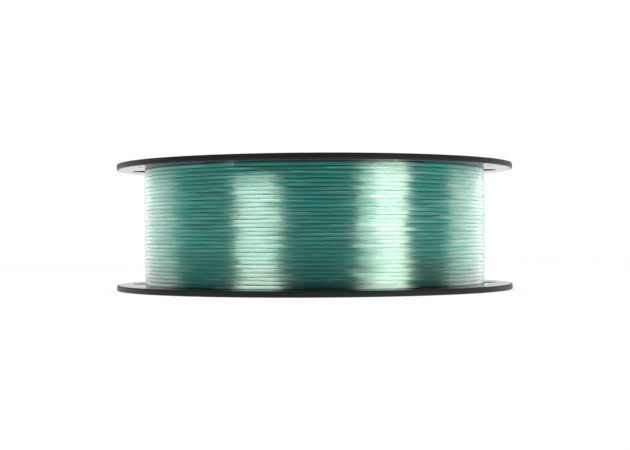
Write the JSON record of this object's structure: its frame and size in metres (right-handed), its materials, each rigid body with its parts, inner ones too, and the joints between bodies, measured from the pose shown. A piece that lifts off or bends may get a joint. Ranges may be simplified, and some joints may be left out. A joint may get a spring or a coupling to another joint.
{
  "type": "filament spool",
  "caption": "Full spool of 3D printing filament: two round flanges snapped on a bored drum, with a level winding of translucent filament between them.",
  "frame": {"origin": "centre of the lower flange's outer face, where the spool lies", "axes": "+Z along the bore, from the lower flange to the upper one; -Y towards the side seen from the front, +X to its right"},
  "size_m": [0.2, 0.2, 0.063],
  "materials": {
    "flange_plastic": "black polystyrene, moulded, glossy inner face",
    "drum_plastic": "black polystyrene, moulded",
    "filament": "translucent teal green, extruded, glossy"
  },
  "bodies": {
    "root": {"lower_flange": "flange_plastic", "upper_flange": "flange_plastic", "drum": "drum_plastic", "filament_core": "filament", "filament_outer_layer": "filament"}
  },
  "joints": []
}
